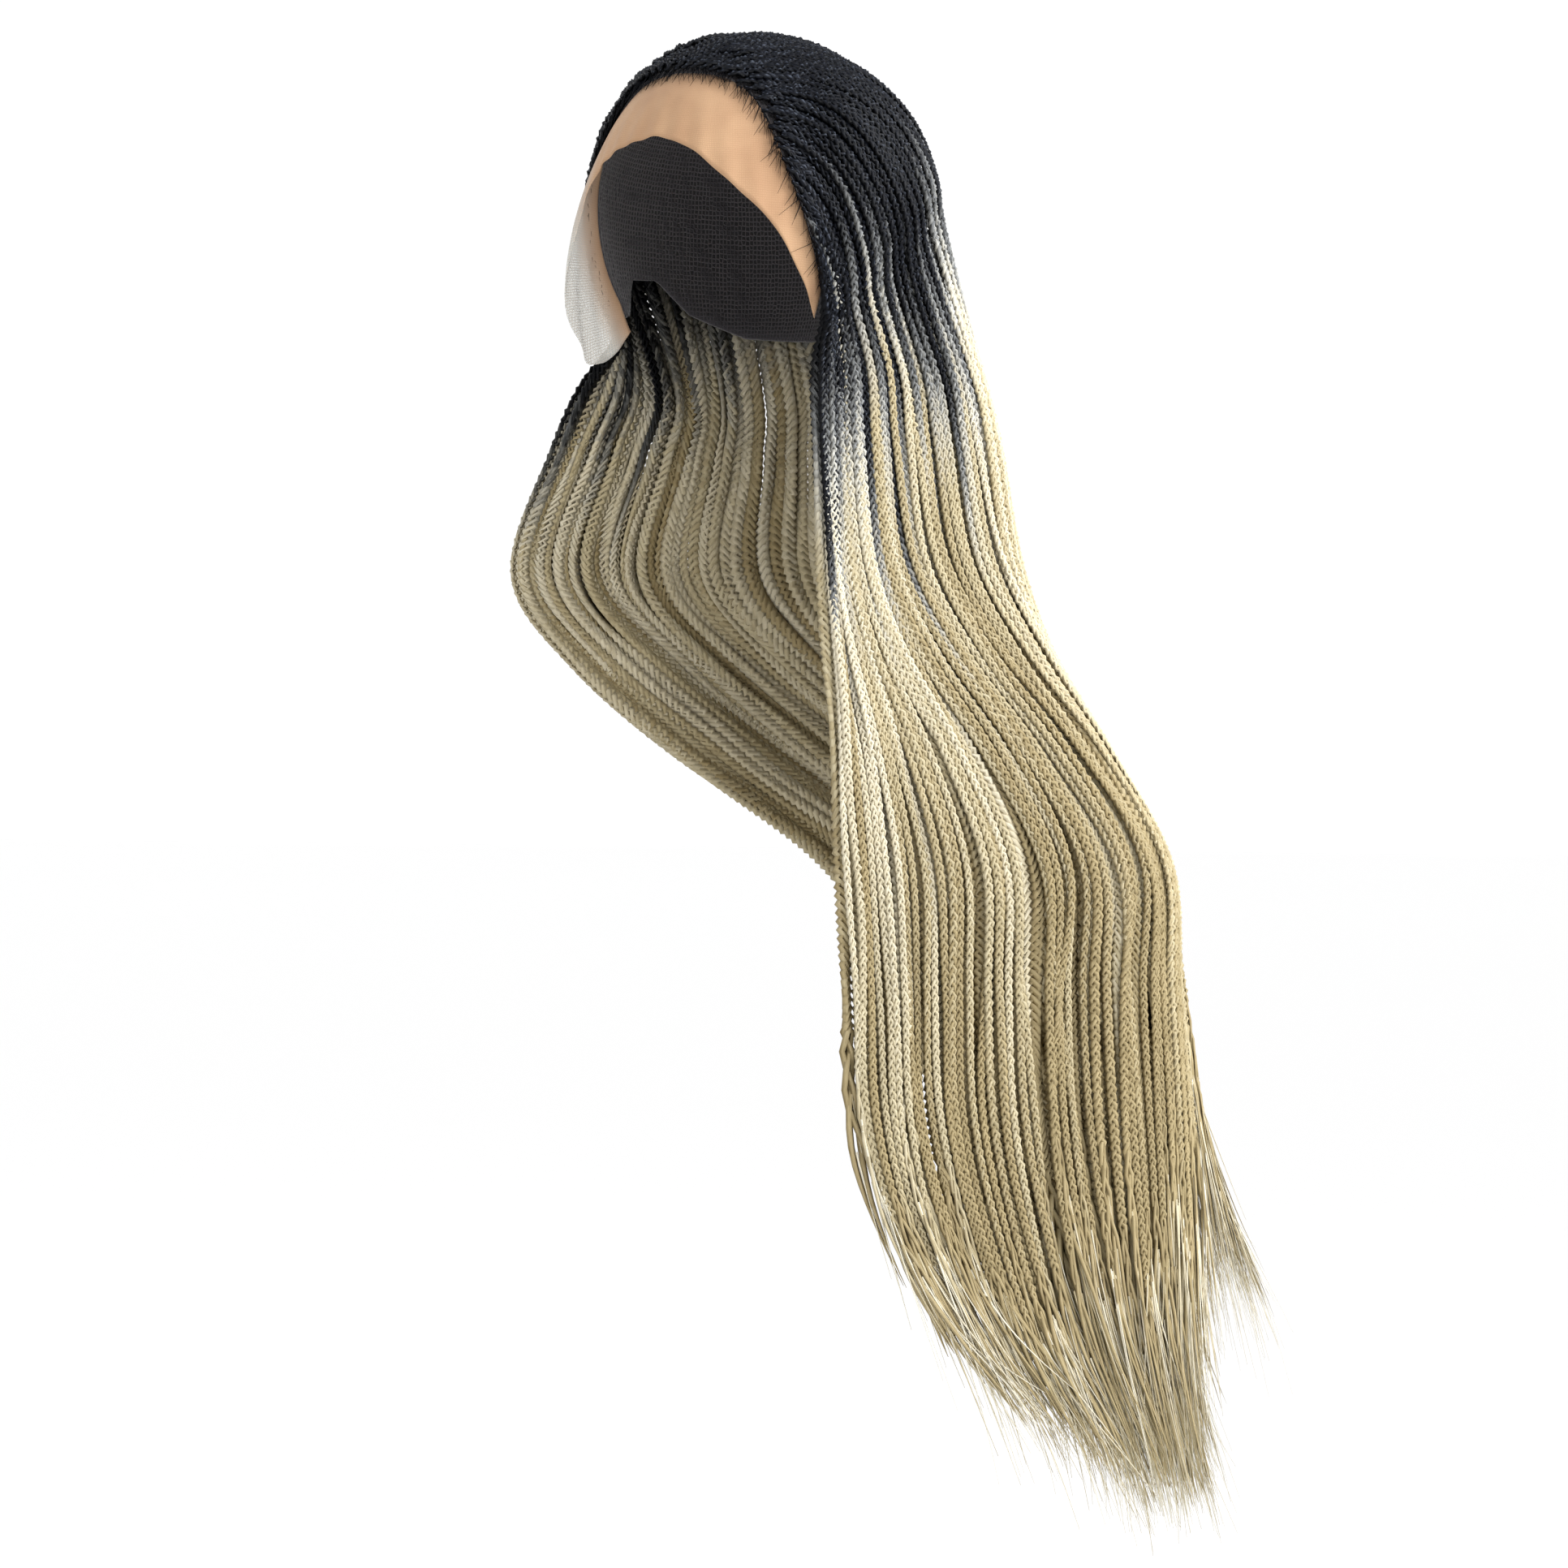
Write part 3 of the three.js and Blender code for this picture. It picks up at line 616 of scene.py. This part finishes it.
def braid_section(name, index, material):
    """All the plaits and fine hairs of one section of the solids, as one piece."""
    skin = Skin()
    outer, under = [], []
    for place in range(LOCKS_PER_SECTION):
        lock_from = -1 + (index * LOCKS_PER_SECTION + place) * LOCK_SPAN
        middle = lock_from + LOCK_SPAN / 2
        band = [row for row in PLAIT_BANDS if row["from"] <= middle][-1]
        beside, beneath = len(band["outer"]), band["under"]
        for number, start in enumerate(band["outer"]):
            outer.append((lock_from + (number + 0.5) * LOCK_SPAN / beside, start, beside))
        for number in range(beneath):
            start = random.uniform(*UNDER_STARTS)
            under.append((min(lock_from + (number + 1) * LOCK_SPAN / beneath, 1), start, beneath))
        fuzz(skin, lock_from)
    order, begins = crossings(len(outer))
    for row, (side, start, beside) in enumerate(outer):
        plait(skin, OUTER_LOOK, side, outer[order[row]][0], begins[row], start, beside)
    for side, start, beneath in under:
        plait(skin, UNDER_LOOK, side, side, 0, start, beneath)
    piece = skin.make(f"{name}_plaits", HAIR_VALUES, material)
    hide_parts(name)
    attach(piece, "root")


class Look:
    """A node material, wired by name."""

    def __init__(self, name):
        self.material = bpy.data.materials.new(name)
        self.material.use_nodes = True
        self.tree = self.material.node_tree
        self.surface = self.tree.nodes["Principled BSDF"]

    def node(self, kind, inputs=None, **settings):
        node = self.tree.nodes.new(kind)
        for key, value in settings.items():
            setattr(node, key, value)
        for key, value in (inputs or {}).items():
            self.put(node, key, value)
        return node

    def put(self, node, key, value):
        if isinstance(value, bpy.types.NodeSocket):
            self.tree.links.new(value, node.inputs[key])
        else:
            node.inputs[key].default_value = value

    def value(self, name):
        return self.node("ShaderNodeAttribute", attribute_name=name).outputs["Fac"]

    def math(self, operation, first, second=0.0, third=0.0, clamp=False):
        inputs = {0: first, 1: second, 2: third}
        return self.node("ShaderNodeMath", inputs, operation=operation, use_clamp=clamp).outputs[0]

    def blend(self, share, low, high, kind="MIX"):
        node = self.node("ShaderNodeMix", data_type="RGBA", blend_type=kind)
        self.put(node, 0, share)
        self.put(node, 6, low)
        self.put(node, 7, high)
        return node.outputs[2]

    def ramp(self, share, stops):
        node = self.node("ShaderNodeValToRGB", {"Fac": share})
        ramp = node.color_ramp
        while len(ramp.elements) < len(stops):
            ramp.elements.new(0.5)
        for element, (place, shade) in zip(ramp.elements, stops):
            element.position = place
            element.color = shade
        return node.outputs["Color"]

    def noise(self, vector, scale, detail=2.0):
        place = self.node("ShaderNodeMapping", {"Vector": vector, "Scale": scale}).outputs[0]
        settings = {"Vector": place, "Scale": 1.0, "Detail": detail, "Roughness": 0.6}
        return self.node("ShaderNodeTexNoise", settings).outputs["Fac"]

    def bump(self, height, strength, distance):
        settings = {"Height": height, "Strength": strength, "Distance": distance}
        self.put(self.surface, "Normal", self.node("ShaderNodeBump", settings).outputs["Normal"])


def colour(red, green, blue):
    """Linear colour from the usual 0 to 255 values."""
    def linear(value):
        value /= 255
        return value / 12.92 if value <= 0.04045 else ((value + 0.055) / 1.055) ** 2.4
    return (linear(red), linear(green), linear(blue), 1)


def grey(level):
    return (level, level, level, 1)


def hair_look():
    """Black root, ash grey where it fades, then a blonde that differs from strand to strand, with painted
    highlights and glints on the strands' crests and painted shade at their sides, under crossings and towards
    the tips.
    """
    look = Look("braid_hair")
    uv = look.node("ShaderNodeUVMap", uv_map="UVMap").outputs["UV"]
    fibre = look.noise(uv, FIBRE_SCALE, 3.0)
    hair = look.noise(uv, HAIR_SCALE)
    crest, lift, brushed = look.value("crest"), look.value("lift"), look.value("brushed")
    # Painted light and shade: crests and strands riding over the others count as lit, strand sides and
    # strands passing under count as shaded, and loose brushed ends count as fully lit
    over = look.math("MULTIPLY_ADD", lift, 0.6, 0.4)
    painted_light_share = look.math("MAXIMUM", look.math("MULTIPLY", crest, over), brushed)
    speckle = look.math("MULTIPLY_ADD", hair, 1.2, -0.95)
    ombre = look.value("ombre")
    # The painted light also brings the fade to blonde sooner on lit crests, a painted highlight
    lighter = look.math("ADD", ombre, look.math("MULTIPLY_ADD", painted_light_share, 0.6, speckle), clamp=True)
    # Blonde by strand tone, which also holds the painted shade towards the tips
    blonde = look.ramp(look.value("tone"), [
        (0.0, colour(168, 153, 117)),
        (0.3, colour(196, 185, 154)),
        (0.65, colour(218, 210, 187)),
        (1.0, colour(234, 229, 211)),
    ])
    ash = look.blend(look.math("SUBTRACT", ombre, 0.45, clamp=True), colour(190, 193, 194), blonde)
    # Painted glints: the black is darkest where painted shade falls and turns grey-blue on lit crests, a
    # painted highlight
    painted_glint = look.math("MULTIPLY", painted_light_share, look.math("MULTIPLY_ADD", fibre, 0.9, 0.55))
    black = look.ramp(painted_glint, [(0.4, colour(4, 5, 9)), (0.75, colour(17, 20, 28)), (1.0, colour(78, 84, 96))])
    fade = look.ramp(lighter, [(0.0, grey(0.0)), (0.5, grey(0.3)), (1.0, grey(1.0))])
    dyed = look.blend(fade, black, ash)
    streak = look.ramp(fibre, [(0.3, (0.6, 0.57, 0.5, 1)), (0.55, grey(1.0))])
    streaked = look.blend(0.75, dyed, streak, "MULTIPLY")
    # Painted shade: a warm darkening multiplied in at strand sides and where strands pass under others
    edge = look.ramp(painted_light_share, [(0.05, (0.52, 0.48, 0.4, 1)), (0.7, grey(1.0))])
    shaded = look.blend(0.85, streaked, edge, "MULTIPLY")
    look.put(look.surface, "Base Color", shaded)
    look.put(look.surface, "Roughness", look.math("MULTIPLY_ADD", fibre, 0.2, 0.36))
    height = look.math("ADD", look.math("MULTIPLY", fibre, 0.7), look.math("MULTIPLY", hair, 0.3))
    look.bump(height, 0.55, 0.0006)
    look.surface.inputs["Specular IOR Level"].default_value = 0.1
    return look.material


def net(look, scale, thread):
    """Threads of a fine net: 1 on a thread and 0 in a hole."""
    place = look.node("ShaderNodeTexCoord").outputs["UV"]
    settings = {"Vector": place, "Scale": scale, "Randomness": 0.3}
    cells = look.node("ShaderNodeTexVoronoi", settings, feature="DISTANCE_TO_EDGE")
    settings = {"Value": cells.outputs["Distance"], "From Min": thread, "From Max": thread * 2.2}
    return look.node("ShaderNodeMapRange", {**settings, "To Min": 1.0, "To Max": 0.0}).outputs[0]


def lace_look():
    """Skin-toned net, paler and more open where it stands off the head."""
    look = Look("lace_net")
    threads = net(look, 900.0, 0.09)
    margin = look.value("margin")
    place = look.node("ShaderNodeTexCoord").outputs["UV"]
    cloud = look.noise(place, (30.0, 30.0, 1.0))
    tan = look.ramp(cloud, [(0.35, colour(172, 136, 104)), (0.65, colour(186, 151, 117))])
    base = look.blend(margin, tan, colour(214, 216, 211))
    shaded = look.blend(look.math("MULTIPLY", threads, 0.4), base, colour(138, 106, 80))
    look.put(look.surface, "Base Color", shaded)
    hole = look.math("MULTIPLY_ADD", margin, -0.45, 0.88)
    look.put(look.surface, "Alpha", look.math("MAXIMUM", hole, look.math("MULTIPLY", threads, 0.95)))
    look.bump(threads, 0.4, 0.0003)
    look.surface.inputs["Roughness"].default_value = 0.75
    look.surface.inputs["Specular IOR Level"].default_value = 0.2
    look.surface.inputs["Sheen Weight"].default_value = 0.1
    return look.material


def cap_look():
    """Black stretch net with its sewn rows and hem."""
    look = Look("cap_net")
    threads = net(look, 420.0, 0.1)
    seam = look.value("seam")
    base = look.blend(threads, colour(16, 15, 17), colour(78, 74, 77))
    sewn = look.blend(seam, base, colour(44, 41, 45))
    look.put(look.surface, "Base Color", sewn)
    look.bump(look.math("ADD", threads, seam), 0.6, 0.0008)
    look.surface.inputs["Roughness"].default_value = 0.8
    look.surface.inputs["Sheen Weight"].default_value = 0.2
    return look.material


def hairline(around, under):
    """Degrees down to the cap's edge, set back by so many degrees."""
    return np.interp(around - under, CAP_EDGE[:, 0], CAP_EDGE[:, 1]) - under


def rounded(values, reach):
    """Values with their corners rounded over so many samples each way, and their ends kept."""
    weights = np.hanning(2 * reach + 3)[1:-1]
    padded = np.concatenate([
        2 * values[0] - values[reach:0:-1], values, 2 * values[-1] - values[-2:-reach - 2:-1],
    ])
    return np.convolve(padded, weights / weights.sum(), "valid")


def shell(skin, outer, inner, uv, values, closed):
    """A thin wall between two grids of points, with its rim. A closed one goes all round and has a top."""
    rows, columns = outer.shape[:2]
    size = rows * columns
    points = np.concatenate([outer.reshape(-1, 3), inner.reshape(-1, 3)])
    first = skin.add_points(points, np.concatenate([values] * 2))
    flat = np.concatenate([uv.reshape(-1, 2)] * 2)
    across = columns if closed else columns - 1
    row, column = np.meshgrid(np.arange(rows - 1), np.arange(across), indexing="ij")
    right = (column + 1) % columns
    below = row + 1
    front = np.stack([
        row * columns + column, below * columns + column, below * columns + right, row * columns + right,
    ], axis=-1).reshape(-1, 4)

    def rim(edge):
        return np.stack([edge[:-1], edge[1:], edge[1:] + size, edge[:-1] + size], axis=-1)

    line = np.arange(columns + 1) % columns if closed else np.arange(columns)
    faces = [front, front[:, ::-1] + size, rim(size - columns + line)[:, ::-1]]
    if closed:
        top = np.arange(columns)[None]
        for cover in (top, top[:, ::-1] + size):
            skin.add_faces(first + cover, flat[cover])
    else:
        down = np.arange(rows) * columns
        faces += [rim(line), rim(down)[:, ::-1], rim(down + columns - 1)]
    faces = np.concatenate(faces)
    skin.add_faces(first + faces, flat[faces])


def laid_flat(around, down):
    """Texture coordinates in metres over the head, for angles round and down."""
    radius = (HEAD_WIDTH + HEAD_LENGTH) / 4 * METRE
    turn = np.broadcast_to(np.radians(around), down.shape)
    return np.stack([turn * radius, np.radians(down) * radius], axis=-1)


def lace_front(material):
    """The sheer lace from the hair's edge down the forehead, with the loose tab at the right temple."""
    columns, rows = 161, 19
    around = np.linspace(-FRONT_SPAN, FRONT_SPAN, columns)
    corner = 6
    top = rounded(hairline(np.abs(around), HAIR_OVER_LACE), corner)
    bottom = rounded(np.interp(around, LACE_EDGE[:, 0], LACE_EDGE[:, 1]), corner)
    peel = rounded(np.interp(around, LACE_EDGE[:, 0], LACE_EDGE[:, 2]), corner) * LACE_PEEL
    share = np.linspace(0, 1, rows)[:, None]
    down = mix(top, bottom, share)
    lift = peel * share ** PEEL_CURVE
    loose = np.clip(lift / LACE_PEEL, 0, 1)
    ripple = 0.5 * np.sin(around * 0.55) * share ** 2 + 1.4 * np.sin(around * 0.9 + down * 0.12) * loose
    direction = bearing(np.broadcast_to(around, down.shape), down)
    outer = on_head(direction, lift + ripple + LACE_WALL)
    inner = on_head(direction, lift + ripple)
    margin = np.clip(loose * 2.2, 0, 1).reshape(-1, 1)
    skin = Skin()
    shell(skin, outer, inner, laid_flat(around, down), margin, closed=False)
    piece = skin.make("lace_front_sheet", ("margin",), material)
    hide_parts("front_lace")
    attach(piece, "root")


def cap(material):
    """The stretch net cap, with sewn rows for the hair and a rolled hem."""
    columns, rows = 144, 34
    around = np.linspace(-180, 180, columns, endpoint=False)
    side = np.abs(around)
    front = hairline(side, HAIR_OVER_CAP)
    edge = np.where(side <= FRONT_SPAN, front, np.interp(side, CAP_EDGE[:, 0], CAP_EDGE[:, 1]))
    share = np.linspace(0.02, 1, rows)[:, None]
    down = edge * share
    direction = bearing(np.broadcast_to(around, down.shape), down)
    hem = np.clip(1 - (1 - share) * edge / 4.5, 0, 1)
    sewn = (0.5 + 0.5 * np.cos(down / 7.5 * FULL_TURN)) ** 8 * (1 - hem)
    outer = on_head(direction, CAP_WALL + 0.5 * hem)
    inner = on_head(direction, 0.25 - 0.25 * sewn)
    skin = Skin()
    seam = np.clip(hem + sewn, 0, 1).reshape(-1, 1)
    shell(skin, outer, inner, laid_flat(around, down), seam, closed=True)
    piece = skin.make("cap_shell", ("seam",), material)
    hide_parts(*CAP_NODES)
    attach(piece, "root")


# Camera, floor and lights of a plain studio: a disk's size in metres and its power in watts
LENS = 90
SENSOR = 36
WORLD_STRENGTH = 1.04
VIEW_AZIMUTH = 33
VIEW_TARGET = Vector((24.4, 15.8, -428.6))
VIEW_DISTANCE = 2300
FLOOR_LEVEL = -1620
FLOOR_REACH = 60000
LAMPS = (
    {"name": "key", "at": (2200, -1500, 900), "size": 1.0, "power": 34},
    {"name": "side", "at": (1900, 800, 700), "size": 1.4, "power": 62},
    {"name": "far", "at": (-2000, -600, 700), "size": 1.6, "power": 8},
)


def studio():
    """The camera at the photo's angle, level with the hair, over a plain pale floor."""
    scene = bpy.context.scene
    turn = math.radians(VIEW_AZIMUTH)
    back = Vector((math.sin(turn), -math.cos(turn), 0))
    camera = bpy.data.objects.new("camera", bpy.data.cameras.new("camera"))
    camera.data.lens = LENS
    camera.data.sensor_width = SENSOR
    camera.data.clip_start = 0.05
    camera.data.clip_end = 200
    camera.location = (VIEW_TARGET + back * VIEW_DISTANCE) * METRE
    camera.rotation_euler = (math.radians(90), 0, turn)
    scene.collection.objects.link(camera)
    scene.camera = camera

    reach, level = FLOOR_REACH * METRE, FLOOR_LEVEL * METRE
    floor_mesh = bpy.data.meshes.new("floor")
    corners = [(x, y, level) for x, y in ((-reach, -reach), (reach, -reach), (reach, reach), (-reach, reach))]
    floor_mesh.from_pydata(corners, [], [(0, 1, 2, 3)])
    floor = bpy.data.objects.new("floor", floor_mesh)
    scene.collection.objects.link(floor)
    paint = Look("floor_paint")
    grain = paint.node("ShaderNodeTexNoise", {"Scale": 3.0, "Detail": 2.0}).outputs["Fac"]
    paint.put(paint.surface, "Base Color", paint.ramp(grain, [(0.0, grey(0.95)), (1.0, grey(0.97))]))
    paint.surface.inputs["Roughness"].default_value = 0.9
    paint.surface.inputs["Specular IOR Level"].default_value = 0.1
    floor_mesh.materials.append(paint.material)

    world = bpy.data.worlds.new("studio")
    scene.world = world
    world.use_nodes = True
    background = world.node_tree.nodes["Background"]
    background.inputs["Color"].default_value = grey(1.0)
    background.inputs["Strength"].default_value = WORLD_STRENGTH

    for row in LAMPS:
        light = bpy.data.lights.new(row["name"], "AREA")
        light.shape = "DISK"
        light.size = row["size"]
        light.energy = row["power"]
        lamp = bpy.data.objects.new(row["name"], light)
        place = Vector(row["at"])
        lamp.location = place * METRE
        lamp.rotation_euler = (VIEW_TARGET - place).to_track_quat("-Z", "Y").to_euler()
        scene.collection.objects.link(lamp)
    scene.view_settings.view_transform = "Standard"
    scene.view_settings.look = "None"


studio()
cap(cap_look())
lace_front(lace_look())
hair = hair_look()
for group, side_name in enumerate(SECTION_SIDES):
    for place in range(SECTIONS_PER_SIDE):
        braid_section(f"{side_name}_braids_{place + 1}", group * SECTIONS_PER_SIDE + place, hair)
